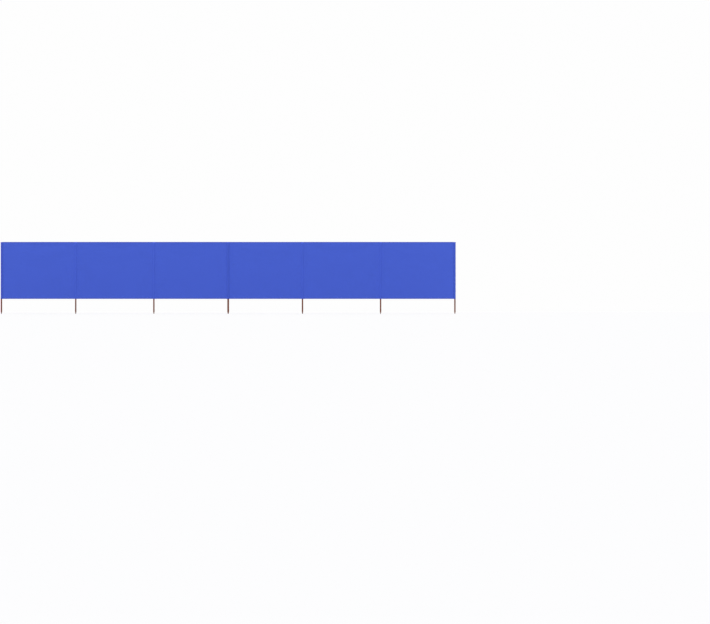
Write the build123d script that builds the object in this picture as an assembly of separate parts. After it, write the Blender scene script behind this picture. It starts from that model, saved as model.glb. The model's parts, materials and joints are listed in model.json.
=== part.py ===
from build123d import *
import math
import os

# Beach windbreak: a long cloth in six bays, held up by seven pointed wooden poles that are pushed
# into the sand. Each pole stands in a pocket of the cloth, closed at the top by a rolled hem and
# open at the bottom, and the cloth folds at the poles.
# +X runs along the cloth, -Y is its front and +Z is up. The origin is at the flat end of the
# middle pole's point. All sizes are in millimetres.

# The row of poles and the cloth on it
OUTER_BAY = 1306.0  # between pole axes, first and third bay of each half
MIDDLE_BAY = 1373.0  # between pole axes, second bay of each half
CLOTH_HEIGHT = 1000.0
BARE_POLE = 265.0  # from the lower end of a pole to the cloth

# Poles
POLE_DIAMETER = 25.0
JOIN_POLE_DIAMETER = 32.0  # the middle pole, where the two lengths of cloth are joined
POINT_LENGTH = 38.0
POINT_END_DIAMETER = 8.0
JOIN_POINT_END_DIAMETER = 10.0
POLE_TOP_ROUND = 2.0

# Cloth and the pockets round the poles
CLOTH = 0.8  # one layer, thicker than the real weave
JOIN_LAYERS = 2  # layers of cloth on each side of the middle pocket
POCKET_CLEARANCE = 0.3  # between a pole and the inside of its pocket
SEAM_REACH = 10.0  # from the wrapped pole to the pocket's seam
END_SEAM_REACH = 17.0  # the same at both ends, where the pole stands in the fold
SEAM_MARGIN = 3.0  # flat cloth outside a seam
ROOF_HEIGHT = 18.0  # height in which a pocket closes above its pole
ROOF_SEWN = 2.0  # layers sewn together under the top hem
POLE_TOP_GAP = 1.0  # between a pole's top and the start of the roof

# Hems
TOP_HEM = 10.0
BOTTOM_HEM = 12.0
HEM_LAYERS = 3
ROLL_THICKNESS = 5.0  # the rolled hem across the top of a pocket
ROLL_LAYERS = 2  # layers of cloth in the wall of the roll
ROLL_END_PROUD = 4.0  # how far the roll stands out past the end pockets

# Gap between a pocket and the bay that swings round its pole
FOLD_GAP = 0.3

# Places that follow from the sizes above
BAYS = (OUTER_BAY, MIDDLE_BAY, OUTER_BAY, OUTER_BAY, MIDDLE_BAY, OUTER_BAY)
POLES = len(BAYS) + 1
JOIN = len(BAYS) // 2
CLOTH_TOP = BARE_POLE + CLOTH_HEIGHT
ROLL_BOTTOM = CLOTH_TOP - TOP_HEM
ROOF_TOP = ROLL_BOTTOM - ROOF_SEWN
POLE_TOP = ROOF_TOP - ROOF_HEIGHT - POLE_TOP_GAP


def is_end(pole):
    """Is this one of the two outermost poles?"""
    return pole in (0, POLES - 1)


def pole_x(pole):
    """Distance of a pole from the middle one, along the cloth."""
    return sum(BAYS[:pole]) - sum(BAYS[:JOIN])


def pole_diameter(pole):
    return JOIN_POLE_DIAMETER if pole == JOIN else POLE_DIAMETER


def pocket_radius(pole):
    """Inner radius of the cloth that is wrapped round a pole."""
    return pole_diameter(pole) / 2 + POCKET_CLEARANCE


def pocket_wall(pole):
    return CLOTH * (JOIN_LAYERS if pole == JOIN else 1)


def seam_distance(pole):
    """From a pole's axis to the seam where the two sides of its pocket meet."""
    return pocket_radius(pole) + (END_SEAM_REACH if is_end(pole) else SEAM_REACH)


def pocket_reach(pole):
    """From a pole's axis to where the plain cloth of the bay starts."""
    return seam_distance(pole) + SEAM_MARGIN


def make_pole(pole):
    """A round pole with a blunt cone at its lower end and a softened top edge."""
    radius = pole_diameter(pole) / 2
    end_radius = (JOIN_POINT_END_DIAMETER if pole == JOIN else POINT_END_DIAMETER) / 2
    corners = [
        (0, 0),
        (end_radius, 0),
        (radius, POINT_LENGTH),
        (radius, POLE_TOP),
        (0, POLE_TOP),
    ]
    section = make_face(Plane.XZ * Polyline(corners, close=True))
    turned = revolve(section, Axis.Z)
    top_edge = turned.edges().filter_by(GeomType.CIRCLE).sort_by(Axis.Z)[-1]
    return fillet(top_edge, POLE_TOP_ROUND)


def pocket_section(pole, wall):
    """Cross-section of a pocket in the XY plane, with its seams in line with the bays.

    The cloth touches the wrapped pole along an arc and runs straight from it to the seam. A wall
    of 0 gives the space inside. An end pocket has its only seam towards +X and is round at -X.
    """
    inner = pocket_radius(pole)
    radius = inner + wall
    lean = math.acos(inner / seam_distance(pole))
    touch = (radius * math.cos(lean), radius * math.sin(lean))
    if wall:
        flat_start = (radius - wall * math.sin(lean)) / math.cos(lean)
        sewn_side = [(pocket_reach(pole), wall), (flat_start, wall), touch]
    else:
        sewn_side = [(seam_distance(pole), 0), touch]
    side = Polyline(sewn_side)
    if is_end(pole):
        halfway = (lean + math.pi) / 2
        over = (radius * math.cos(halfway), radius * math.sin(halfway))
        upper = side + ThreePointArc(touch, over, (-radius, 0))
    else:
        upper = side + ThreePointArc(touch, (0, radius), (-touch[0], touch[1]))
        upper += mirror(side, Plane.YZ)
    outline = upper + mirror(upper, Plane.XZ)
    if wall:
        end_x = pocket_reach(pole)
        outline += Line((end_x, wall), (end_x, -wall))
        if not is_end(pole):
            outline += Line((-end_x, wall), (-end_x, -wall))
    return make_face(outline)


def roof(pole, wall):
    """Block with the pocket's shape from the side, which closes in to the top hem.

    A wall of 0 gives the space inside, which ends where the layers are sewn together.
    """
    inner = pocket_radius(pole)
    slope = math.atan2(inner, ROOF_HEIGHT)
    spread = 2 * inner  # past the pocket's sides, so that only the roof cuts it
    foot_y = spread + wall / math.cos(slope)
    foot_z = ROOF_TOP - spread / math.tan(slope)
    right = [(foot_y, BARE_POLE), (foot_y, foot_z)]
    if wall:
        knee_z = ROOF_TOP + (wall / math.cos(slope) - wall) / math.tan(slope)
        right += [(wall, knee_z), (wall, ROLL_BOTTOM)]
    else:
        right += [(0, ROOF_TOP)]
    left = [(-y, z) for y, z in reversed(right) if y]
    section = make_face(Plane.YZ * Polyline(right + left, close=True))
    return extrude(section, pocket_reach(pole) + spread, both=True)


def make_pocket(pole):
    """The cloth round a pole: closed above it, open below, with a turned-up cuff at the mouth."""
    wall = pocket_wall(pole)
    at_mouth = Pos(0, 0, BARE_POLE)
    body = at_mouth * extrude(pocket_section(pole, wall), ROLL_BOTTOM - BARE_POLE)
    body &= roof(pole, wall)
    cuff = at_mouth * extrude(pocket_section(pole, wall + CLOTH), BOTTOM_HEM)
    space = at_mouth * extrude(pocket_section(pole, 0), ROLL_BOTTOM - BARE_POLE)
    space &= roof(pole, 0)
    return body + cuff - space


def hem_section(height, thickness, fold_up=True):
    """Cross-section of a hem in the YZ plane, standing on z = 0, with its fold rounded."""
    half = thickness / 2
    shoulder = height - half
    sides = Polyline((-half, shoulder), (-half, 0), (half, 0), (half, shoulder))
    section = make_face(Plane.YZ * (sides + ThreePointArc((half, shoulder), (0, height), (-half, shoulder))))
    return section if fold_up else Pos(0, 0, height) * mirror(section, Plane.XY)


def make_roll(pole):
    """The rolled hem that closes a pocket: a flattened tube, open at its ends."""
    wall = ROLL_LAYERS * CLOTH
    right = pocket_reach(pole)
    left = -(pocket_radius(pole) + pocket_wall(pole) + ROLL_END_PROUD) if is_end(pole) else -right
    tube = extrude(hem_section(TOP_HEM, ROLL_THICKNESS), right - left)
    hollow = hem_section(TOP_HEM - 2 * wall, ROLL_THICKNESS - 2 * wall)
    tube -= Pos(0, 0, wall) * extrude(hollow, right - left)
    return Pos(left, 0, ROLL_BOTTOM) * tube


def bay_ends(bay):
    """Where the plain cloth of a bay starts and ends along X.

    A bay is sewn to the pocket on its far side from the middle, and swings round the pole on its
    near side. The bay to the left of the middle pole is sewn to both of its pockets.
    """
    left = pole_x(bay) + pocket_reach(bay)
    right = pole_x(bay + 1) - pocket_reach(bay + 1)
    if bay >= JOIN:
        left += FOLD_GAP
    elif bay < JOIN - 1:
        right -= FOLD_GAP
    return left, right


def make_panel(bay):
    """The single layer of cloth between two pockets and two hems."""
    left, right = bay_ends(bay)
    bottom = BARE_POLE + BOTTOM_HEM
    centre = Pos((left + right) / 2, 0, (bottom + ROLL_BOTTOM) / 2)
    return centre * Box(right - left, CLOTH, ROLL_BOTTOM - bottom)


def make_hem(bay, height, bottom, fold_up):
    """A hem along one edge of a bay: three layers sewn flat, with the fold outwards."""
    left, right = bay_ends(bay)
    section = hem_section(height, HEM_LAYERS * CLOTH, fold_up)
    return Pos(left, 0, bottom) * extrude(section, right - left)


def place_at_pole(shape, pole):
    """Move a pocket or its roll to its pole. The last pole has the first one's, turned round."""
    turned = mirror(shape, Plane.YZ) if pole == POLES - 1 else shape
    return Pos(pole_x(pole), 0, 0) * turned


def make_parts():
    """Every sub-part by name, numbered from the left as seen from the front."""
    parts = {}
    for pole in range(POLES):
        number = pole + 1
        parts[f"pole_{number}"] = Pos(pole_x(pole), 0, 0) * make_pole(pole)
        parts[f"pocket_{number}"] = place_at_pole(make_pocket(pole), pole)
        parts[f"rolled_hem_{number}"] = place_at_pole(make_roll(pole), pole)
    for bay in range(len(BAYS)):
        number = bay + 1
        parts[f"panel_{number}"] = make_panel(bay)
        parts[f"top_hem_{number}"] = make_hem(bay, TOP_HEM, ROLL_BOTTOM, True)
        parts[f"bottom_hem_{number}"] = make_hem(bay, BOTTOM_HEM, BARE_POLE, False)
    return parts


def main():
    os.makedirs("parts", exist_ok=True)
    for name, shape in make_parts().items():
        export_step(shape, f"parts/{name}.step")


main()
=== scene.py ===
import json
import math

import bmesh
import bpy
import numpy as np
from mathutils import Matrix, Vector, noise


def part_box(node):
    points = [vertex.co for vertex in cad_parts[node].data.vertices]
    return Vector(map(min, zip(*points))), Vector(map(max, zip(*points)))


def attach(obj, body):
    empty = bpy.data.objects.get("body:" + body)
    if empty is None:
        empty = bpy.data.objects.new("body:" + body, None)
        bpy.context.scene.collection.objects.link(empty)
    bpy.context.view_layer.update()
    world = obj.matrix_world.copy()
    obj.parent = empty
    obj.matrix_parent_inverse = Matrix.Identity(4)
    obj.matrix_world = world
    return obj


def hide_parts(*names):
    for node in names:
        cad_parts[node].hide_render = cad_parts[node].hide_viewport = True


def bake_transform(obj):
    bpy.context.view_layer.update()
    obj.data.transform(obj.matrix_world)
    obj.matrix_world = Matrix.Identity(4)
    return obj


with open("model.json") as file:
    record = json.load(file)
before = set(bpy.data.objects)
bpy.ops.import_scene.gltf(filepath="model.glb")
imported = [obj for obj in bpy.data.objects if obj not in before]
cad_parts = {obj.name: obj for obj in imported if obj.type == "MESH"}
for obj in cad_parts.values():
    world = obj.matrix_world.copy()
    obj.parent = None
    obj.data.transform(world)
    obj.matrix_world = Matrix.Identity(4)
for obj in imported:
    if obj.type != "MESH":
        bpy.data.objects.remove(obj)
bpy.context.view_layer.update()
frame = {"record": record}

# A beach windbreak: blue cloth in six bays, on seven wooden poles with pointed ends. Sizes are
# in metres. Poles, pockets and bays are numbered from the left, as seen from the front at -Y.
POLES = 7
BAYS = POLES - 1
JOIN = 4  # the middle pole, where two lengths of cloth are sewn together

# Cloth and its seams
CLOTH = 0.0005  # thickness of one layer
AIR = 0.0001  # between two layers
LOOSE = 0.0004  # between a pole and its pocket
SEAM_MARGIN = 0.003  # flat cloth of a pocket outside its seam
TUCKED_IN = 0.002  # how far a bay's cloth reaches into the pocket past the seam
FOLD = 0.0006  # radius of a turned edge
HEM_TUCK = 0.007  # cloth that a hem hides inside its fold
SAME_PLACE = 1e-5  # points closer than this are at one place

# Grid of a bay's cloth
BAY_GRID = 0.0105
FINE_WIDTH = 0.016  # strip beside a pocket with a finer grid, for the gathers in the hem
FINE_HEIGHT = 0.012  # the same below the top hem

# How a bay hangs
SHEET_GRID = 0.024  # of the sheet in the simulation
SHEET_FRAMES = 20
SHEET_UNEVEN = 0.002  # how far out of line it starts
SHEET_UNEVEN_SIZE = 0.35
SPARE_CLOTH = 0.003  # share by which a bay's cloth is longer than its gap
BELLY = 0.006  # furthest that the middle of a bay stands out of line
PUCKER = 0.0009  # depth of the shallow folds that start at a seam
PUCKER_START = 0.03  # distance from the seam in which they grow
PUCKER_REACH = 0.11
PUCKER_SPACING = 0.085
PUCKER_WANDER = 0.21  # size of the bends in them
GATHER = 0.00048  # depth of the small upright folds in the top hem, beside a pocket
GATHER_REACH = 0.014
GATHER_SPACING = 0.004
GATHER_RAISED = 0.001  # from the hem's lower edge up to where they are deepest
GATHER_HEIGHT = 0.0065
GATHER_UNEVEN_SIZE = 0.006

# Pockets
POCKET_GRID = 0.0145  # height of the faces of a pocket
ROOF_GAP = 0.001  # from a pole's top to where the pocket starts to close
ROOF_SEWN = 0.002  # height of the layers sewn together below the rolled hem
ROOF_TUCK = 0.003  # how far they reach up into it
ROOF_TUCK_START = 0.003  # distance from the seam in which they reach that far
ROOF_PRESSED = 0.6  # their thickness, as a share of loose layers
ROOF_SOFT = 0.0012  # rounding where the leaning sides start
CREASE = 0.0009  # how far the soft creases of a pocket stand out
CREASE_SIZE = 0.03
CREASE_SHAPE = (2.2, 2.2, 0.55)  # how many there are of them across, deep and high
CREASE_FADE = 0.05  # height below the roof in which they get shallower

# Rolled hems across the tops of the pockets
ROLL_RAISED = 0.0028  # from the lower edge of the bays' hems up to that of a roll
ROLL_THICK = 0.0056
ROLL_FLAT = 0.0025  # its thickness where it runs into the hem of a bay
ROLL_OVERLAP = 0.001  # how far it reaches onto that hem
ROLL_TURNS = 1.9
ROLL_TIGHTER = 0.45  # how much smaller each turn inside the first is, as a share
ROLL_WAVE = 0.00025  # unevenness along a roll
ROLL_WAVE_SIZE = 0.012
END_DROOP = 0.0055  # how far a rolled hem hangs down at its open end
END_PROUD = 0.007  # how far it stands out past the pole
END_TUCK = 0.0016  # how far the pocket draws in below it

# Stitches
STITCH_PITCH = 0.0050
STITCH_LENGTH = 0.0036
STITCH_WIDTH = 0.0009
HEM_STITCH_IN = 0.0018  # from a hem's inner edge to its stitches
HEM_STITCH_END = 0.003  # from the end of a hem to its first stitch
SEAM_STITCH_IN = 0.55  # place of a seam's stitches across its margin, as a share of that
SEAM_STITCH_END = 0.004  # from the lower edge or the top hem to a seam's first stitch

# Poles
POLE_SIDES = 40
POLE_RINGS = 60
POINT_LENGTH = 0.038
POINT_END_SHARE = 0.32  # diameter of the blunt end, as a share of the pole's
POINT_ROUND = 0.004  # rounding where the point starts
POINT_END_ROUND = 0.0008
POLE_TOP_ROUND = 0.002
END_RING = 0.001  # ring of faces round the flat ends
POLE_UNEVEN = 0.00035
POLE_UNEVEN_SIZE = 0.011
POLE_UNEVEN_SHAPE = (1, 1, 0.12)  # the hollows are long ones, in line with the pole

# Colours as they look in plain light, in red, green and blue from 0 to 255
CLOTH_BLUE = (68, 92.8, 199)
THREAD_BLUE = (50, 69, 162)
WOOD_BROWN = (112, 60, 37)
WOOD_DARK = (76, 36, 22)
WOOD_PALE = (142, 82, 52)
FLOOR_GREY = (236, 236, 237)

# Look of the cloth
THREADS = 0.00112  # spacing of the threads of the weave
WEAVE_DEPTH = 0.00014
POCKET_TONE = 1.03  # of a single pocket, against the bays
END_TONE = 0.92  # of the pockets at both ends, darker: painted shade where their two layers keep out the light from behind
JOIN_TONE = 1.0  # of the pocket at the join, with its double cloth
# Hems, rolled hems and the rolls' open ends are darker copies of the cloth: painted shade where
# layers of cloth keep out the light from behind, and where a roll lies in shade
HEM_TONE = 0.81
ROLL_TONE = 0.79
END_ROLL_TONE = 0.68
ROOF_HIGHLIGHT = 0.4  # how much paler a pocket is where it rounds in above its pole, a painted highlight
ROOF_HIGHLIGHT_HEIGHT = 0.0115  # how far below the rolled hem that starts
ROOF_HIGHLIGHT_EDGE = 0.0045  # height in which it grows
JOIN_SHADE = 0.0784  # how much darker the join's pocket is straight over its pole: painted shade where the pole and the double cloth keep out the light from behind
ROLL_LIGHT_AND_SHADE = 0.28  # how much paler a rolled hem is on top, and how much darker below: painted highlight and painted shade

# Look of the wood and the thread
GRAIN_DEPTH = 0.0004
SCUFFED = 0.05  # height up to which a pole's point is scuffed
TWIST_DEPTH = 0.0001

# Light and floor
FLOOR_SIZE = 400
SKY_LIGHT = 0.47
BACKGROUND = 0.99
FRONT_SUN = 1.55
BACK_SUN = 1.46
SUN_WIDTH = 30  # in degrees

# The photograph's frame and camera
IMAGE_WIDTH, IMAGE_HEIGHT = 710, 624
METRES_PER_PIXEL = 0.017576
MIDDLE_POLE_PIXEL = 228.18
TIP_PIXEL = 313.95
LENS = 100
SENSOR = 36

# Places that follow from the frame
BODIES = frame["record"]["behaviour"]["bodies"]
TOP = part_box("top_hem_1")[1].z
TOP_HEM_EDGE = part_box("top_hem_1")[0].z
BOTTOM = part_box("bottom_hem_1")[0].z
BOTTOM_HEM_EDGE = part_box("bottom_hem_1")[1].z
POLE_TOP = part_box("pole_1")[1].z
ROOF_FOOT = POLE_TOP + ROOF_GAP  # where a pocket starts to close
ROOF_TOP = TOP_HEM_EDGE + ROOF_TUCK  # upper edge of a pocket's cloth, inside the rolled hem
CUFF = BOTTOM_HEM_EDGE - BOTTOM
CUFF_TURN = math.pi * FOLD  # length of the cloth that turns up into the cuff
# Added to a height on a pocket, this gives the length of its cloth from the cuff's edge to there
CUFF_LENGTH = CUFF - 2 * FOLD + CUFF_TURN - BOTTOM
ROLL_AROUND = (TOP - TOP_HEM_EDGE + ROLL_THICK) / 4  # length of cloth for each radian of a roll


def body_of(node):
    """The moving body that a CAD node belongs to."""
    return next(body for body, nodes in BODIES.items() if node in nodes)


class Pole:
    """Where a pole and the pocket round it are."""

    def __init__(self, number):
        low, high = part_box(f"pole_{number}")
        pocket_low, pocket_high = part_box(f"pocket_{number}")
        self.number = number
        self.x = (low.x + high.x) / 2
        self.radius = (high.x - low.x) / 2
        self.is_end = number in (1, POLES)
        self.reach = max(self.x - pocket_low.x, pocket_high.x - self.x)
        self.seam = self.reach - SEAM_MARGIN
        self.side = -1 if number == POLES else 1  # the way from an end pole to the cloth
        self.halves = (1,) if self.is_end else (1, -1)  # an inner pocket has a front and a back
        self.layers = 2 if number == JOIN else 1
        self.wall = self.layers * CLOTH


poles = {number: Pole(number) for number in range(1, POLES + 1)}


# Tools of the workbench


def select(*pieces):
    """Select these pieces and nothing else. The first one is the active one."""
    bpy.ops.object.select_all(action="DESELECT")
    for piece in pieces:
        piece.select_set(True)
    bpy.context.view_layer.objects.active = pieces[0]


def add_piece(name, primitive, **settings):
    """Start a piece from a primitive, with nothing else selected."""
    bpy.ops.object.select_all(action="DESELECT")
    primitive(**settings)
    piece = bpy.context.object
    piece.name = piece.data.name = name
    bpy.ops.object.transform_apply(location=True, rotation=True, scale=True)
    return piece


def pick(piece, kind, chosen):
    """In edit mode, select the vertices, edges or faces for which chosen() is true."""
    bpy.ops.mesh.select_mode(type=kind)
    bpy.ops.mesh.select_all(action="DESELECT")
    mesh = bmesh.from_edit_mesh(piece.data)
    items = {"VERT": mesh.verts, "EDGE": mesh.edges, "FACE": mesh.faces}[kind]
    for item in items:
        if chosen(item):
            item.select_set(True)
    mesh.select_flush_mode()
    bmesh.update_edit_mesh(piece.data)


def is_level(edge, height):
    """Do both ends of an edge lie at this height?"""
    return all(abs(vertex.co.z - height) < SAME_PLACE for vertex in edge.verts)


def points_of(piece):
    points = np.empty(len(piece.data.vertices) * 3)
    piece.data.vertices.foreach_get("co", points)
    return points.reshape(-1, 3)


def move_points(piece, points):
    piece.data.vertices.foreach_set("co", np.asarray(points, float).ravel())
    piece.data.update()


def join(name, pieces):
    """Make one piece of several."""
    select(*pieces)
    if len(pieces) > 1:
        bpy.ops.object.join()
    pieces[0].name = pieces[0].data.name = name
    return pieces[0]


def shade_smooth(piece, angle):
    """Smooth shading, except across edges that turn by more than an angle in degrees."""
    select(piece)
    bpy.ops.object.shade_smooth_by_angle(angle=math.radians(angle))


def thicken(piece, thickness):
    """Give a surface the thickness of its cloth, half of it on each side."""
    modifier = piece.modifiers.new("Solidify", "SOLIDIFY")
    modifier.thickness = thickness
    modifier.offset = 0
    modifier.use_even_offset = False
    select(piece)
    bpy.ops.object.modifier_apply(modifier=modifier.name)
    shade_smooth(piece, 60)


def spaced(stops, counts):
    """Values from stop to stop, with so many steps in each stretch."""
    stretches = [
        np.linspace(start, end, count, endpoint=False)
        for start, end, count in zip(stops, stops[1:], counts)
    ]
    return np.append(np.concatenate(stretches), stops[-1])


def cloth_grid(name, columns, rows, place, lay_out=None):
    """A grid of cloth. place(column, row) gives its points, as three arrays.

    lay_out(column, row) gives the same points on the flat cut, for the UV map that the weave
    follows.
    """
    across, up = len(columns) - 1, len(rows) - 1
    piece = add_piece(
        name, bpy.ops.mesh.primitive_grid_add, x_subdivisions=across, y_subdivisions=up, size=1
    )
    at = points_of(piece) + 0.5
    column = columns[np.rint(at[:, 0] * across).astype(int)]
    row = rows[np.rint(at[:, 1] * up).astype(int)]
    move_points(piece, np.column_stack(place(column, row)))
    if lay_out:
        flat = np.column_stack(lay_out(column, row))
        corners = np.empty(len(piece.data.loops), int)
        piece.data.loops.foreach_get("vertex_index", corners)
        piece.data.uv_layers.active.data.foreach_set("uv", flat[corners].ravel())
    return piece


def upright(x, z):
    """Flat cloth in line with the poles, for a grid with x as columns and z as rows."""
    return x, 0 * x, z


def rough(points, scale, seed=0.0):
    """Smooth noise from about -1 to 1 at each point, with features of about that size."""
    places = np.asarray(points, float) / scale + seed
    return np.array([noise.noise(Vector(place)) for place in places]) * 1.6


# Poles


def round_rim(piece, height, rounding, segments):
    """In edit mode, round the edges of a pole at this height."""
    pick(piece, "EDGE", lambda edge: is_level(edge, height))
    bpy.ops.mesh.bevel(offset=rounding, segments=segments, affect="EDGES")


def make_pole(pole):
    """A round wooden pole with a turned point and a softened top."""
    piece = add_piece(
        f"wooden_pole_{pole.number}",
        bpy.ops.mesh.primitive_cylinder_add,
        vertices=POLE_SIDES,
        radius=pole.radius,
        depth=POLE_TOP - POINT_LENGTH,
        location=(pole.x, 0, (POLE_TOP + POINT_LENGTH) / 2),
    )
    bpy.ops.object.mode_set(mode="EDIT")
    pick(piece, "FACE", lambda face: face.normal.z < -0.9)
    bpy.ops.mesh.extrude_region_move(TRANSFORM_OT_translate={"value": (0, 0, -POINT_LENGTH)})
    narrower = (POINT_END_SHARE, POINT_END_SHARE, 1)
    bpy.ops.transform.resize(value=narrower, center_override=(pole.x, 0, 0))
    round_rim(piece, POLE_TOP, POLE_TOP_ROUND, 4)
    round_rim(piece, POINT_LENGTH, POINT_ROUND, 4)
    round_rim(piece, 0, POINT_END_ROUND, 2)
    pick(piece, "EDGE", lambda edge: abs(edge.verts[0].co.z - edge.verts[1].co.z) > POLE_TOP / 2)
    bpy.ops.mesh.subdivide(number_cuts=POLE_RINGS)
    pick(piece, "FACE", lambda face: len(face.verts) > 4)
    bpy.ops.mesh.inset(thickness=END_RING)
    bpy.ops.mesh.inset(thickness=pole.radius * 0.1)
    bpy.ops.object.mode_set(mode="OBJECT")

    points = points_of(piece)
    worn = rough(points * POLE_UNEVEN_SHAPE, POLE_UNEVEN_SIZE, seed=pole.number * 7.3)
    share = 1 - POLE_UNEVEN / pole.radius * (0.5 - 0.5 * worn.clip(-1, 1))
    points[:, 0] = pole.x + (points[:, 0] - pole.x) * share
    points[:, 1] *= share
    move_points(piece, points)
    shade_smooth(piece, 35)
    piece.data.materials.append(wood_finish)
    return piece


# How the cloth of a bay hangs


def cubic_weights(t):
    """Weights of four neighbouring values on a smooth curve through them."""
    return (
        ((2 - t) * t - 1) * t / 2,
        ((3 * t - 5) * t * t + 2) / 2,
        ((4 - 3 * t) * t + 1) * t / 2,
        (t - 1) * t * t / 2,
    )


def simulate(sheet, held):
    """Let a sheet hang from its held points. Gives how far out of line each point of it stands."""
    sewn = sheet.vertex_groups.new(name="sewn")
    sewn.add(np.flatnonzero(held).tolist(), 1.0, "REPLACE")
    cloth = sheet.modifiers.new("Cloth", "CLOTH")
    cloth.settings.quality = 6
    cloth.settings.mass = 0.15
    cloth.settings.tension_stiffness = 25
    cloth.settings.compression_stiffness = 25
    cloth.settings.shear_stiffness = 12
    cloth.settings.bending_stiffness = 1.5
    cloth.settings.air_damping = 2
    cloth.settings.vertex_group_mass = sewn.name
    cloth.settings.shrink_min = -SPARE_CLOTH
    cloth.point_cache.frame_start = 1
    cloth.point_cache.frame_end = SHEET_FRAMES
    scene = bpy.context.scene
    for step in range(1, SHEET_FRAMES + 1):
        scene.frame_set(step)
    hung = sheet.evaluated_get(bpy.context.evaluated_depsgraph_get())
    swell = np.array([vertex.co.y for vertex in hung.data.vertices])
    bpy.data.objects.remove(sheet)
    scene.frame_set(1)
    return swell


class Hang:
    """How far out of line the cloth of a bay stands at any place on it."""

    def __init__(self, bay):
        self.bay = bay
        self.left = poles[bay].x + poles[bay].seam
        self.right = poles[bay + 1].x - poles[bay + 1].seam
        self.across = round((self.right - self.left) / SHEET_GRID)
        self.up = round((TOP - BOTTOM) / SHEET_GRID)
        self.sheet = self.simulated_sheet()

    def simulated_sheet(self):
        """Cloth simulation of the bay, sewn at both sides and a little longer than its gap."""
        columns = np.linspace(self.left, self.right, self.across + 1)
        rows = np.linspace(BOTTOM, TOP, self.up + 1)
        piece = cloth_grid("hanging_sheet", columns, rows, upright)
        points = points_of(piece)
        points[:, 1] += rough(points, SHEET_UNEVEN_SIZE, seed=self.bay * 11.7) * SHEET_UNEVEN
        move_points(piece, points)
        # The outer two columns of points on each side are held
        edge = 1.5 * SHEET_GRID
        held = (points[:, 0] < self.left + edge) | (points[:, 0] > self.right - edge)
        swell = simulate(piece, held).reshape(self.up + 1, self.across + 1)
        swell[:, :2] = 0
        swell[:, -2:] = 0
        return swell * BELLY / np.abs(swell).max()

    def swell(self, x, z):
        """The simulated sheet at a place, on smooth curves through its points."""
        column = ((x - self.left) / (self.right - self.left) * self.across).clip(0, self.across)
        row = ((z - BOTTOM) / (TOP - BOTTOM) * self.up).clip(0, self.up)
        i = np.minimum(row.astype(int), self.up - 1)
        j = np.minimum(column.astype(int), self.across - 1)
        padded = np.pad(self.sheet, 1, mode="edge")
        by_row = cubic_weights(row - i)
        by_column = cubic_weights(column - j)
        return sum(
            by_row[a] * by_column[b] * padded[i + a, j + b] for a in range(4) for b in range(4)
        )

    def puckers(self, x, z):
        """Shallow folds that start at the seams and die out into the bay."""
        from_seam = np.minimum(x - self.left, self.right - x).clip(0)
        growing = (from_seam / PUCKER_START).clip(0, 1) ** 2
        fading = np.exp(-from_seam / PUCKER_REACH)
        wander = rough(np.column_stack(upright(x, z)), PUCKER_WANDER, seed=self.bay * 5.1)
        folds = np.sin(2 * np.pi * z / PUCKER_SPACING + 5 * wander)
        return PUCKER * growing * fading * folds

    def gathers(self, x, z):
        """Small upright folds in the top hem, where it runs into a pocket's rolled hem."""
        from_pocket = (np.minimum(x - self.left, self.right - x) - SEAM_MARGIN).clip(0)
        across = np.exp(-((from_pocket / GATHER_REACH) ** 2))
        down = np.exp(-(((TOP_HEM_EDGE + GATHER_RAISED - z) / GATHER_HEIGHT) ** 2))
        bumps = rough(np.column_stack(upright(x, z)), GATHER_UNEVEN_SIZE, seed=self.bay * 3.3)
        folds = np.sin(2 * np.pi * from_pocket / GATHER_SPACING)
        return GATHER * across * down * (0.75 + 0.4 * bumps) * folds

    def __call__(self, x, z):
        return self.swell(x, z) + self.puckers(x, z) + self.gathers(x, z)


# Bays


def fold_hem(piece, is_edge, up, height):
    """In edit mode, turn the picked edge of a cloth to the back twice, up or down by a hem."""
    angles = np.radians((0, 60, 120, 180))
    half_turn = np.column_stack((FOLD * (1 - np.cos(angles)), -FOLD * np.sin(angles)))
    steps = np.diff(half_turn, axis=0)
    flat = (0, height / 2 - FOLD)
    pick(piece, "EDGE", is_edge)
    for y, z in (*steps, flat, flat, *(-steps / 2), (0, -HEM_TUCK)):
        bpy.ops.mesh.extrude_edges_move(TRANSFORM_OT_translate={"value": (0, y, up * z)})


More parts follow.
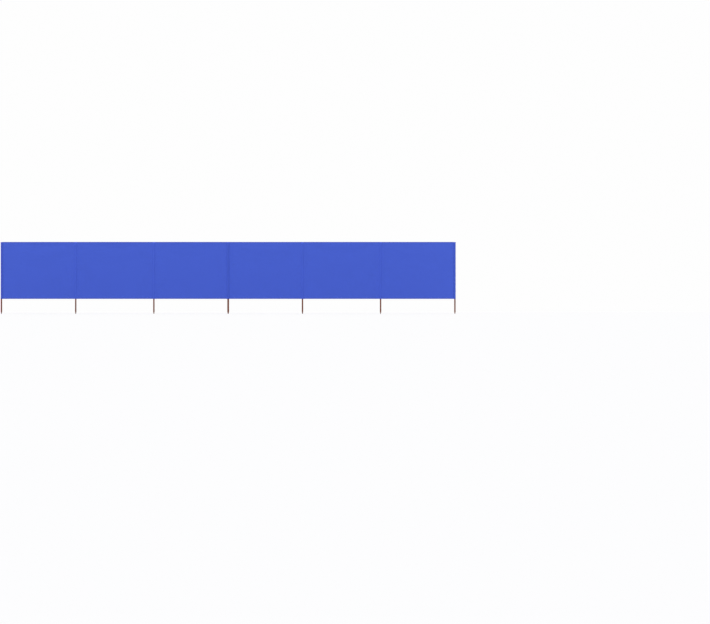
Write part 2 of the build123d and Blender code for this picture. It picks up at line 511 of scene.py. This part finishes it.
def make_bay_cloth(bay, hang):
    """The cloth between two poles, with a hem turned to the back along its top and its bottom."""
    first, last = poles[bay], poles[bay + 1]
    left, right = first.x + first.reach, last.x - last.reach
    tucked_left = first.x + first.seam - TUCKED_IN
    tucked_right = last.x - last.seam + TUCKED_IN
    low, high = BOTTOM + FOLD + CLOTH / 2, TOP - FOLD - CLOTH / 2
    fine = TOP_HEM_EDGE - FINE_HEIGHT
    wide_columns = round((right - left - 2 * FINE_WIDTH) / BAY_GRID)
    tall_rows = round((fine - BOTTOM_HEM_EDGE) / BAY_GRID)
    stops = (tucked_left, left, left + FINE_WIDTH, right - FINE_WIDTH, right, tucked_right)
    columns = spaced(stops, (2, 20, wide_columns, 20, 2))
    rows = spaced((low, BOTTOM_HEM_EDGE, fine, TOP_HEM_EDGE, high), (2, tall_rows, 5, 4))
    piece = cloth_grid(f"bay_cloth_{bay}", columns, rows, upright)

    def is_edge(edge, height):
        """Is this a part of the cloth's edge at this height, outside the pockets?"""
        places = [vertex.co.x for vertex in edge.verts]
        outside = left - SAME_PLACE < min(places) and max(places) < right + SAME_PLACE
        return outside and is_level(edge, height)

    bpy.ops.object.mode_set(mode="EDIT")
    fold_hem(piece, lambda edge: is_edge(edge, low), 1, BOTTOM_HEM_EDGE - BOTTOM)
    fold_hem(piece, lambda edge: is_edge(edge, high), -1, TOP - TOP_HEM_EDGE)
    bpy.ops.object.mode_set(mode="OBJECT")
    points = points_of(piece)
    points[:, 1] += hang(points[:, 0], points[:, 2])
    move_points(piece, points)

    for finish in (bay_finish, hem_finish):
        piece.data.materials.append(finish)
    for face in piece.data.polygons:
        is_hem = not BOTTOM_HEM_EDGE < face.center.z < TOP_HEM_EDGE
        face.material_index = int(is_hem)
    thicken(piece, CLOTH)
    return piece


# Stitches


def model_stitch():
    """One stitch along X, pointed at both ends where the thread goes into the cloth."""
    tip = 0.2 * STITCH_LENGTH
    piece = add_piece(
        "stitch",
        bpy.ops.mesh.primitive_cylinder_add,
        vertices=4,
        radius=STITCH_WIDTH / 2,
        depth=STITCH_LENGTH - 2 * tip,
        rotation=(0, math.pi / 2, 0),
    )
    bpy.ops.object.mode_set(mode="EDIT")
    for way in (1, -1):
        pick(piece, "FACE", lambda face: face.normal.x * way > 0.9)
        bpy.ops.mesh.extrude_region_move(TRANSFORM_OT_translate={"value": (way * tip, 0, 0)})
        bpy.ops.mesh.merge(type="CENTER")
    bpy.ops.object.mode_set(mode="OBJECT")
    return piece


class Line:
    """A line of stitches: where each one is, and which way is out of the cloth there."""

    def __init__(self, x, y, z, out):
        self.points = np.column_stack(np.broadcast_arrays(x, y, z))
        self.out = np.broadcast_to(out, self.points.shape)
        along = np.gradient(self.points, axis=0)
        self.along = along / np.linalg.norm(along, axis=1, keepdims=True)


def sew(name, stitch, lines):
    """Copies of one stitch along lines, as one piece."""
    shape = points_of(stitch)
    faces = [list(face.vertices) for face in stitch.data.polygons]
    places = np.concatenate([line.points for line in lines])
    along = np.concatenate([line.along for line in lines])
    out = np.concatenate([line.out for line in lines])
    across = np.cross(along, out)
    points = places[:, None] + sum(
        shape[None, :, axis, None] * way[:, None]
        for axis, way in enumerate((along, out, across))
    )
    copies = [
        [corner + copy * len(shape) for corner in face]
        for copy in range(len(places))
        for face in faces
    ]
    mesh = bpy.data.meshes.new(name)
    mesh.from_pydata(points.reshape(-1, 3).tolist(), [], copies)
    piece = bpy.data.objects.new(name, mesh)
    bpy.context.scene.collection.objects.link(piece)
    piece.data.materials.append(thread_finish)
    return piece


def stitch_places(start, end):
    count = round(abs(end - start) / STITCH_PITCH)
    return np.linspace(start, end, count + 1)


def sew_bay(bay, stitch, hang):
    """The stitches of a bay: along both hems and down both seams, front and back."""
    first, last = poles[bay], poles[bay + 1]
    hem_start = first.x + first.reach + HEM_STITCH_END
    hem_end = last.x - last.reach - HEM_STITCH_END
    hem_x = stitch_places(hem_start, hem_end)
    back_of_hem = 2 * FOLD + CLOTH / 2
    lines = []
    for height in (BOTTOM_HEM_EDGE - HEM_STITCH_IN, TOP_HEM_EDGE + HEM_STITCH_IN):
        y = hang(hem_x, np.full_like(hem_x, height))
        lines.append(Line(hem_x, y - CLOTH / 2, height, (0, -1, 0)))
        lines.append(Line(hem_x, y + back_of_hem, height, (0, 1, 0)))
    seam_z = stitch_places(BOTTOM + SEAM_STITCH_END, TOP_HEM_EDGE - SEAM_STITCH_END)
    for pole, way in ((first, 1), (last, -1)):
        x = pole.x + way * (pole.seam + SEAM_STITCH_IN * SEAM_MARGIN)
        for side in (-1, 1):
            y = side * (margin_y(pole, 0) + pole.wall / 2)
            lines.append(Line(x, y, seam_z, (0, side, 0)))
    return sew(f"bay_stitches_{bay}", stitch, lines)


# Pockets


def margin_y(pole, outside):
    """From the middle of a bay's cloth to the middle of a pocket's margin on it."""
    return (CLOTH + pole.wall) / 2 + AIR + outside


def half_section(pole, t, outside):
    """A point of a pocket's cross-section, on its front right quarter.

    t goes from 0 at the edge of the margin over 1 at the seam and 2 where the cloth meets the
    pole to 3, straight in front of the pole or, for an end pocket, at its outer side. outside
    is how far outside the pocket's cloth the point is.
    """
    radius = pole.radius + LOOSE + pole.wall / 2 + outside
    lift = margin_y(pole, outside)
    lean = np.arctan2(lift, pole.seam) + np.arccos(radius / np.hypot(pole.seam, lift))
    last_angle = math.pi if pole.is_end else math.pi / 2
    touch_x, touch_y = radius * np.cos(lean), radius * np.sin(lean)
    angle = lean + (t - 2).clip(0) * (last_angle - lean)
    on_margin = t < 1
    on_flank = (t >= 1) & (t < 2)
    x = np.where(on_margin, pole.reach - SEAM_MARGIN * t, radius * np.cos(angle))
    y = np.where(on_margin, lift, radius * np.sin(angle))
    x = np.where(on_flank, pole.seam + (touch_x - pole.seam) * (t - 1), x)
    y = np.where(on_flank, lift + (touch_y - lift) * (t - 1), y)
    return x, -y


def section(pole, t, outside):
    """The same for t from 0 to 6, along the whole front, or all round an end pocket."""
    x, y = half_section(pole, np.where(t > 3, 6 - t, t), outside)
    if pole.is_end:
        return x, np.where(t > 3, -y, y)
    return np.where(t > 3, -x, x), y


def section_length(pole, t):
    """Length of the cloth along the section, up to t."""
    fine = np.linspace(0, 6, 601)
    x, y = section(pole, fine, 0.0)
    length = np.append(0, np.cumsum(np.hypot(np.diff(x), np.diff(y))))
    return np.interp(t, fine, length)


def up_pocket(length):
    """Height of a pocket's cloth at a length from its cuff's edge, and how far out it is there.

    The cloth runs down the cuff, turns at the mouth of the pocket, and runs up inside the cuff.
    """
    in_turn = length - (CUFF - FOLD)
    angle = (in_turn / CUFF_TURN).clip(0, 1) * math.pi
    z = np.where(in_turn < 0, BOTTOM_HEM_EDGE - length, length - CUFF_LENGTH)
    turning = (in_turn >= 0) & (in_turn <= CUFF_TURN)
    z = np.where(turning, BOTTOM + FOLD * (1 - np.sin(angle)), z)
    return z, FOLD * (1 + np.cos(angle))


def crease(pole, t, x, y, z, way):
    """Let the cloth of a pocket stand out in soft creases between its seams."""
    inside = (np.minimum(t, 6 - t) - 1).clip(0, 1)
    below_roof = ((ROOF_FOOT - z) / CREASE_FADE).clip(0, 1)
    places = np.column_stack((x, y * way, z)) * CREASE_SHAPE + (pole.number, 0, 0)
    creases = rough(places, CREASE_SIZE, seed=pole.number).clip(0, 1)
    out = CREASE * inside * creases * (0.35 + 0.65 * below_roof)
    larger = 1 + out / np.hypot(x, y)
    return x * larger, y * larger


def into_hem(pole, x, start):
    """How far a rolled hem has turned into the hem of a bay at x from its pole, from 0 to 1."""
    across = x if pole.is_end else np.abs(x)
    share = ((across / pole.reach - start) / (1 - start)).clip(0, 1)
    return share * share * (3 - 2 * share)


def roll_edges(pole, x):
    """Heights of the upper and the lower edge of a rolled hem, which droops at its open end."""
    sag = 0 * x
    if pole.is_end:
        open_end = pole.radius + END_PROUD
        sag = END_DROOP * ((pole.reach - x) / (pole.reach + open_end)).clip(0, 1) ** 1.2
    return TOP - sag, TOP_HEM_EDGE + ROLL_RAISED - sag


def close_top(pole, x, y, z):
    """Round the two sides of a pocket together above its pole, up to its rolled hem."""
    under_roll = roll_edges(pole, x)[1]
    tuck = ROOF_TUCK * ((pole.seam - np.abs(x)) / ROOF_TUCK_START).clip(0.15, 1)
    stretch = (under_roll + tuck - ROOF_FOOT) / (ROOF_TOP - ROOF_FOOT)
    z = np.where(z > ROOF_FOOT, ROOF_FOOT + (z - ROOF_FOOT) * stretch, z)
    leaning = ((z - ROOF_FOOT) / (under_roll - ROOF_SEWN - ROOF_FOOT)).clip(0, 1)
    sewn = margin_y(pole, 0) * ROOF_PRESSED
    wide = pole.radius + LOOSE + pole.wall + ROOF_SOFT
    limit = sewn + (wide - sewn) * (1 - leaning**2.1) ** 0.7
    side = np.abs(y)
    soft = ROOF_SOFT * (leaning * 6).clip(0, 1)
    softer = (side + limit - np.hypot(side - limit, soft)) / 2
    y = np.sign(y) * np.where(leaning > 0, np.maximum(softer, np.minimum(side, sewn)), side)
    if pole.is_end:
        x = x + END_TUCK * leaning**2 * (-x / pole.radius).clip(0, 1)
    return x, y, z


def make_pocket(pole):
    """The cloth round a pole, and the size of its flat cut.

    It is sewn to the bays at its sides, closed above the pole, and turned up in a cuff at its
    open lower end.
    """
    cuff_levels = (0, CUFF - FOLD, CUFF - FOLD + CUFF_TURN)
    body_levels = [height + CUFF_LENGTH for height in (BOTTOM_HEM_EDGE, ROOF_FOOT, ROOF_TOP)]
    body_rows = round((ROOF_FOOT - BOTTOM_HEM_EDGE) / POCKET_GRID)
    rows = spaced((*cuff_levels, *body_levels), (2, 4, 2, body_rows, 18))
    columns = spaced(range(7), (2, 6, 12, 12, 6, 2))

    def half(way):
        def place(t, length):
            z, outside = up_pocket(length)
            x, y = section(pole, t, outside)
            x, y = crease(pole, t, x, y, z, way)
            x, y, z = close_top(pole, x, y, z)
            return pole.x + pole.side * x, y * way, z

        def lay_out(t, length):
            return section_length(pole, t), length

        return cloth_grid("pocket_half", columns, rows, place, lay_out)

    piece = join(f"pole_pocket_{pole.number}", [half(way) for way in pole.halves])
    finish = pocket_finish
    if pole.is_end:
        finish = end_finish
    elif pole.number == JOIN:
        finish = join_finish
    piece.data.materials.append(finish)
    thicken(piece, pole.wall)
    width = section_length(pole, 6) * len(pole.halves)
    return piece, (float(width), float(rows[-1]))


def make_rolled_hem(pole):
    """The rolled hem across the top of a pocket. At both ends of the row it is open and droops."""
    right = pole.reach + ROLL_OVERLAP
    left = -(pole.radius + END_PROUD) if pole.is_end else -right
    columns = np.linspace(left, right, 29)
    rows = np.linspace(0, ROLL_TURNS * 2 * math.pi, 52)

    def place(x, angle):
        to_hem = into_hem(pole, x, 0.5)
        inward = 1 - ROLL_TIGHTER * (angle / (2 * math.pi) - 0.9).clip(0)
        thick = (ROLL_THICK + (ROLL_FLAT - ROLL_THICK) * to_hem) / 2 - CLOTH / 2
        top, bottom = roll_edges(pole, x)
        high = (top - bottom) / 2 - CLOTH / 2
        places = np.column_stack((x + pole.x, 0 * x, angle * 0.002))
        wave = ROLL_WAVE * rough(places, ROLL_WAVE_SIZE)
        back = (CLOTH + AIR) * into_hem(pole, x, 1 - SEAM_MARGIN / pole.reach)
        y = back + (thick + wave) * inward * np.cos(angle)
        z = (top + bottom) / 2 + high * inward * np.sin(angle)
        return pole.x + pole.side * x, y, z

    def lay_out(x, angle):
        return x, angle * ROLL_AROUND

    piece = cloth_grid(f"rolled_hem_cloth_{pole.number}", columns, rows, place, lay_out)
    piece.data.materials.append(end_roll_finish if pole.is_end else roll_finish)
    thicken(piece, CLOTH)
    return piece


def sew_pocket(pole, stitch):
    """Stitches round the cuff of a pocket, from seam to seam."""
    fine = np.linspace(1, 5, 800)
    length = section_length(pole, fine)
    t = np.interp(stitch_places(length[0], length[-1]), length, fine)
    across, deep = section(pole, t, 2 * FOLD + pole.wall / 2)
    lines = []
    for way in pole.halves:
        from_pole = np.column_stack((pole.side * across, deep * way, 0 * t))
        out = np.cross(np.gradient(from_pole, axis=0), (0, 0, 1))
        out /= np.linalg.norm(out, axis=1, keepdims=True)
        out *= np.sign((out * from_pole).sum(axis=1, keepdims=True))
        x = pole.x + from_pole[:, 0]
        lines.append(Line(x, from_pole[:, 1], BOTTOM_HEM_EDGE - HEM_STITCH_IN, out))
    return sew(f"pocket_stitches_{pole.number}", stitch, lines)


# Finishes


def linear(colour):
    """A colour from 0 to 255 as the linear one that a shader takes."""
    shares = [value / 255 for value in colour]
    return tuple(s / 12.92 if s <= 0.04045 else ((s + 0.055) / 1.055) ** 2.4 for s in shares)


class Socket:
    """A value in a finish. Sums and products of it add Math nodes."""

    def __init__(self, finish, socket):
        self.finish = finish
        self.socket = socket

    def __add__(self, other):
        return self.finish.maths("ADD", self, other)

    def __radd__(self, other):
        return self.finish.maths("ADD", other, self)

    def __sub__(self, other):
        return self.finish.maths("SUBTRACT", self, other)

    def __rsub__(self, other):
        return self.finish.maths("SUBTRACT", other, self)

    def __mul__(self, other):
        return self.finish.maths("MULTIPLY", self, other)

    def __rmul__(self, other):
        return self.finish.maths("MULTIPLY", other, self)

    def __truediv__(self, other):
        return self.finish.maths("DIVIDE", self, other)

    def __abs__(self):
        return self.finish.maths("ABSOLUTE", self)


class Finish:
    """A material, or the world round the windbreak, that is built node by node."""

    def __init__(self, name, kind=bpy.data.materials):
        self.made = kind.new(name)
        self.made.use_nodes = True
        self.tree = self.made.node_tree
        self.tree.nodes.clear()

    def node(self, kind, inputs, out=0, stops=None, **settings):
        """Add a node with its settings, a ramp's stops, and the values or links of its sockets."""
        node = self.tree.nodes.new(kind)
        for setting, value in settings.items():
            setattr(node, setting, value)
        if stops:
            elements = node.color_ramp.elements
            elements[0].position, elements[0].color = stops[0][0], (*stops[0][1], 1)
            elements[1].position, elements[1].color = stops[-1][0], (*stops[-1][1], 1)
            for position, colour in stops[1:-1]:
                elements.new(position).color = (*colour, 1)
        for key, value in inputs.items():
            if isinstance(value, Socket):
                self.tree.links.new(value.socket, node.inputs[key])
            else:
                node.inputs[key].default_value = value
        return Socket(self, node.outputs[out]) if len(node.outputs) else None

    def maths(self, operation, *values):
        return self.node("ShaderNodeMath", dict(enumerate(values)), operation=operation)

    def sine(self, value):
        return self.maths("SINE", value)

    def at_least(self, value, least):
        return self.maths("MAXIMUM", value, least)

    def at_most(self, value, most):
        return self.maths("MINIMUM", value, most)

    def place(self, kind):
        """The coordinates of the surface: Object, or UV on cloth that goes round a pole."""
        return self.node("ShaderNodeTexCoord", {}, out=kind)

    def axes(self, vector):
        """The three numbers of a vector."""
        split = self.node("ShaderNodeSeparateXYZ", {"Vector": vector}).socket.node
        return [Socket(self, output) for output in split.outputs]

    def noise(self, vector, scale, detail=3.0, roughness=0.5, stretch=(1, 1, 1)):
        stretched = self.node("ShaderNodeMapping", {"Vector": vector, "Scale": stretch})
        inputs = {"Vector": stretched, "Scale": scale, "Detail": detail, "Roughness": roughness}
        return self.node("ShaderNodeTexNoise", inputs)

    def toned(self, colour, tone):
        """A colour made lighter or darker by a tone round 1."""
        inputs = {"Vector": linear(colour) if isinstance(colour, tuple) else colour, "Scale": tone}
        return self.node("ShaderNodeVectorMath", inputs, operation="SCALE")

    def bump(self, height, distance, strength=1.0):
        inputs = {"Height": height, "Distance": distance, "Strength": strength}
        return self.node("ShaderNodeBump", inputs)

    def finish(self, shader, output="ShaderNodeOutputMaterial"):
        """Connect the shader to the output, and give the material or the world."""
        self.node(output, {"Surface": shader})
        return self.made


def cloth_finish(name, kind, tone, contrast=1.0, painted_light=None):
    """Matt cloth in plain weave.

    kind is Object for flat cloth, and UV for cloth that goes round something. u runs across the
    cloth and v up it, and faded(finish, u, v) says how much paler or darker it is at a place:
    painted light and shade.
    """
    finish = Finish(name)
    place = finish.place(kind)
    u, y, z = finish.axes(place)
    v = z if kind == "Object" else y
    # Heights of the threads up and along the cloth, which lie on top of each other by turns
    across_u = finish.sine(u * (math.pi / THREADS))
    across_v = finish.sine(v * (math.pi / THREADS))
    over = across_u * across_v
    up, along = abs(across_u) + over, abs(across_v) - over
    height = finish.at_least(up, along)
    on_top = finish.at_most(finish.at_least(up - along, -0.8), 0.8)
    thread = finish.noise(place, 700, detail=2) - 0.5
    cloud = finish.noise(place, 3.1, detail=2) - 0.5
    blotch = finish.noise(place, 55, detail=3) - 0.5
    # The weave's colour is painted light: threads on top are lighter or darker by turns, a painted
    # sheen, and the cloth is darker low between the threads, painted shade
    weave = contrast * (0.17 * on_top + 0.13 * (height - 1.1))
    shade = tone * (1 + weave + 0.14 * thread + 0.05 * cloud + 0.22 * blotch)
    # Painted highlight and shade, where this cloth has them
    if painted_light:
        shade = shade * (1 + painted_light(finish, u, v))
    colour = finish.toned(CLOTH_BLUE, shade)
    relief = finish.bump(height + 0.6 * thread + 8 * blotch, WEAVE_DEPTH, 0.8)
    inputs = {"Base Color": colour, "Roughness": 0.86 + 0.1 * thread, "Normal": relief}
    inputs |= {"Sheen Weight": 0.02, "Sheen Roughness": 0.5, "Specular IOR Level": 0.15}
    return finish.finish(finish.node("ShaderNodeBsdfPrincipled", inputs))


def pocket_painted_light(pole, painted_shade=0):
    """On a pocket: painted highlight where it rounds in above its pole, painted shade straight in
    front.
    """
    side_length = section_length(pole, 6) / (2 if pole.is_end else 1)

    def painted_light(finish, u, v):
        bulge = abs(finish.sine(u * (math.pi / side_length)))
        start = TOP_HEM_EDGE + CUFF_LENGTH - ROOF_HIGHLIGHT_HEIGHT * bulge * (2 - bulge)
        growing = finish.at_most(finish.at_least((v - start) / ROOF_HIGHLIGHT_EDGE, 0), 1)
        painted_highlight = ROOF_HIGHLIGHT * growing * growing * (3 - 2 * growing)
        return painted_highlight - painted_shade * bulge * bulge * bulge * bulge if painted_shade else painted_highlight

    return painted_light


def roll_painted_light(finish, u, v):
    """On a rolled hem: painted highlight along its upper side, painted shade along its lower side.
    """
    return ROLL_LIGHT_AND_SHADE * finish.sine(v / ROLL_AROUND)


def make_thread_finish():
    """Twisted thread, a little darker than the cloth."""
    finish = Finish("thread")
    twist = finish.noise(finish.place("Object"), 1600, detail=2) - 0.5
    colour = finish.toned(THREAD_BLUE, 1 + 0.25 * twist)
    inputs = {"Base Color": colour, "Roughness": 0.6, "Normal": finish.bump(twist, TWIST_DEPTH)}
    return finish.finish(finish.node("ShaderNodeBsdfPrincipled", inputs))


def make_wood_finish():
    """Stained wood: fine grain along the pole, broader streaks, and a scuffed point."""
    finish = Finish("stained_wood")
    place = finish.place("Object")
    height = finish.axes(place)[2]
    streak = finish.noise(place, 70, detail=4, roughness=0.6, stretch=(1, 1, 0.06))
    grain = finish.noise(place, 520, detail=3, roughness=0.7, stretch=(1, 1, 0.035))
    pore = finish.noise(place, 1500, detail=1, stretch=(1, 1, 0.03))
    stops = [(0.25, linear(WOOD_DARK)), (0.5, linear(WOOD_BROWN)), (0.78, linear(WOOD_PALE))]
    share = 0.62 * streak + 0.38 * grain
    stain = finish.node("ShaderNodeValToRGB", {0: share}, stops=stops)
    scuffed = finish.at_least(1 - height / SCUFFED, 0)
    tone = 1 + 0.5 * (grain - 0.5) + 0.35 * (pore - 0.5) + 0.25 * scuffed * streak
    colour = finish.toned(stain, tone)
    relief = finish.bump(0.6 * grain + 0.4 * pore, GRAIN_DEPTH, 0.5)
    inputs = {"Base Color": colour, "Roughness": 0.5 + 0.3 * grain, "Normal": relief}
    inputs["Specular IOR Level"] = 0.2
    return finish.finish(finish.node("ShaderNodeBsdfPrincipled", inputs))


bay_finish = cloth_finish("woven_cloth", "Object", 1.0)
hem_finish = cloth_finish("hem_cloth", "Object", HEM_TONE)
# The rolls and pockets carry painted highlights and painted shade
roll_finish = cloth_finish("rolled_cloth", "UV", ROLL_TONE, 1.0, roll_painted_light)
end_roll_finish = cloth_finish("end_roll_cloth", "UV", END_ROLL_TONE, 1.0, roll_painted_light)
pocket_finish = cloth_finish("pocket_cloth", "UV", POCKET_TONE, 1.3, pocket_painted_light(poles[2]))
end_finish = cloth_finish("end_pocket_cloth", "UV", END_TONE, 1.5, pocket_painted_light(poles[1]))
join_painted_light = pocket_painted_light(poles[JOIN], JOIN_SHADE)
join_finish = cloth_finish("double_pocket_cloth", "UV", JOIN_TONE, 1.3, join_painted_light)
thread_finish = make_thread_finish()
wood_finish = make_wood_finish()


# Making the windbreak

stitch = model_stitch()
for pole in poles.values():
    piece = make_pole(pole)
    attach(piece, body_of(f"pole_{pole.number}"))
    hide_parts(f"pole_{pole.number}")

for bay in range(1, BAYS + 1):
    hang = Hang(bay)
    cloth = make_bay_cloth(bay, hang)
    stitches = sew_bay(bay, stitch, hang)
    body = body_of(f"panel_{bay}")
    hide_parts(f"panel_{bay}", f"top_hem_{bay}", f"bottom_hem_{bay}")
    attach(cloth, body)
    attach(stitches, body)

for pole in poles.values():
    number = pole.number
    pocket, cut = make_pocket(pole)
    roll = make_rolled_hem(pole)
    stitches = sew_pocket(pole, stitch)
    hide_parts(f"pocket_{number}")
    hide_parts(f"rolled_hem_{number}")
    for piece in (pocket, roll, stitches):
        if pole.is_end:
            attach(piece, body_of(f"pocket_{number}"))
        else:
            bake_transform(piece)

bpy.data.objects.remove(stitch)


# Floor, light and camera


def make_floor():
    """A pale floor, which looks as white as the background and keeps the shadows."""
    floor = add_piece("floor", bpy.ops.mesh.primitive_plane_add, size=FLOOR_SIZE)
    finish = Finish("pale_floor")
    matt = finish.node("ShaderNodeBsdfDiffuse", {"Color": (*linear(FLOOR_GREY), 1)})
    floor.data.materials.append(finish.finish(matt))


def add_sun(name, azimuth, elevation, strength):
    """A soft sun. Azimuth 0 shines along +Y, from the viewer's side, and 90 along -X."""
    a, e = math.radians(azimuth), math.radians(elevation)
    towards = Vector((math.sin(a) * math.cos(e), -math.cos(a) * math.cos(e), math.sin(e)))
    rotation = towards.to_track_quat("Z", "Y").to_euler()
    bpy.ops.object.light_add(type="SUN", rotation=rotation, location=towards * 10)
    sun = bpy.context.object
    sun.name = name
    sun.data.energy = strength
    sun.data.angle = math.radians(SUN_WIDTH)


def make_sky():
    """Even white light, and a brighter white where it is seen, as the background or in gloss."""
    sky = Finish("studio", bpy.data.worlds)
    rays = [f"Is {kind} Ray" for kind in ("Camera", "Glossy", "Transmission")]
    camera, glossy, through = [sky.node("ShaderNodeLightPath", {}, out=ray) for ray in rays]
    seen = sky.at_least(camera, sky.at_least(glossy, through))
    strength = SKY_LIGHT + (BACKGROUND - SKY_LIGHT) * seen
    light = sky.node("ShaderNodeBackground", {"Color": (1, 1, 1, 1), "Strength": strength})
    bpy.context.scene.world = sky.finish(light, "ShaderNodeOutputWorld")


def make_camera():
    """The photograph's view: straight at the cloth, from far away, close to the ground."""
    distance = METRES_PER_PIXEL * IMAGE_WIDTH * LENS / SENSOR
    across = (IMAGE_WIDTH / 2 - MIDDLE_POLE_PIXEL) * METRES_PER_PIXEL
    up = (TIP_PIXEL - IMAGE_HEIGHT / 2) * METRES_PER_PIXEL
    bpy.ops.object.camera_add(location=(across, -distance, up), rotation=(math.pi / 2, 0, 0))
    camera = bpy.context.object
    camera.data.lens = LENS
    camera.data.sensor_width = SENSOR
    camera.data.clip_start = 0.01
    camera.data.clip_end = 1000
    bpy.context.scene.camera = camera


make_floor()
add_sun("front_sun", azimuth=-7, elevation=46, strength=FRONT_SUN)
add_sun("back_sun", azimuth=165, elevation=48, strength=BACK_SUN)
make_sky()
make_camera()
bpy.context.scene.view_settings.view_transform = "Standard"
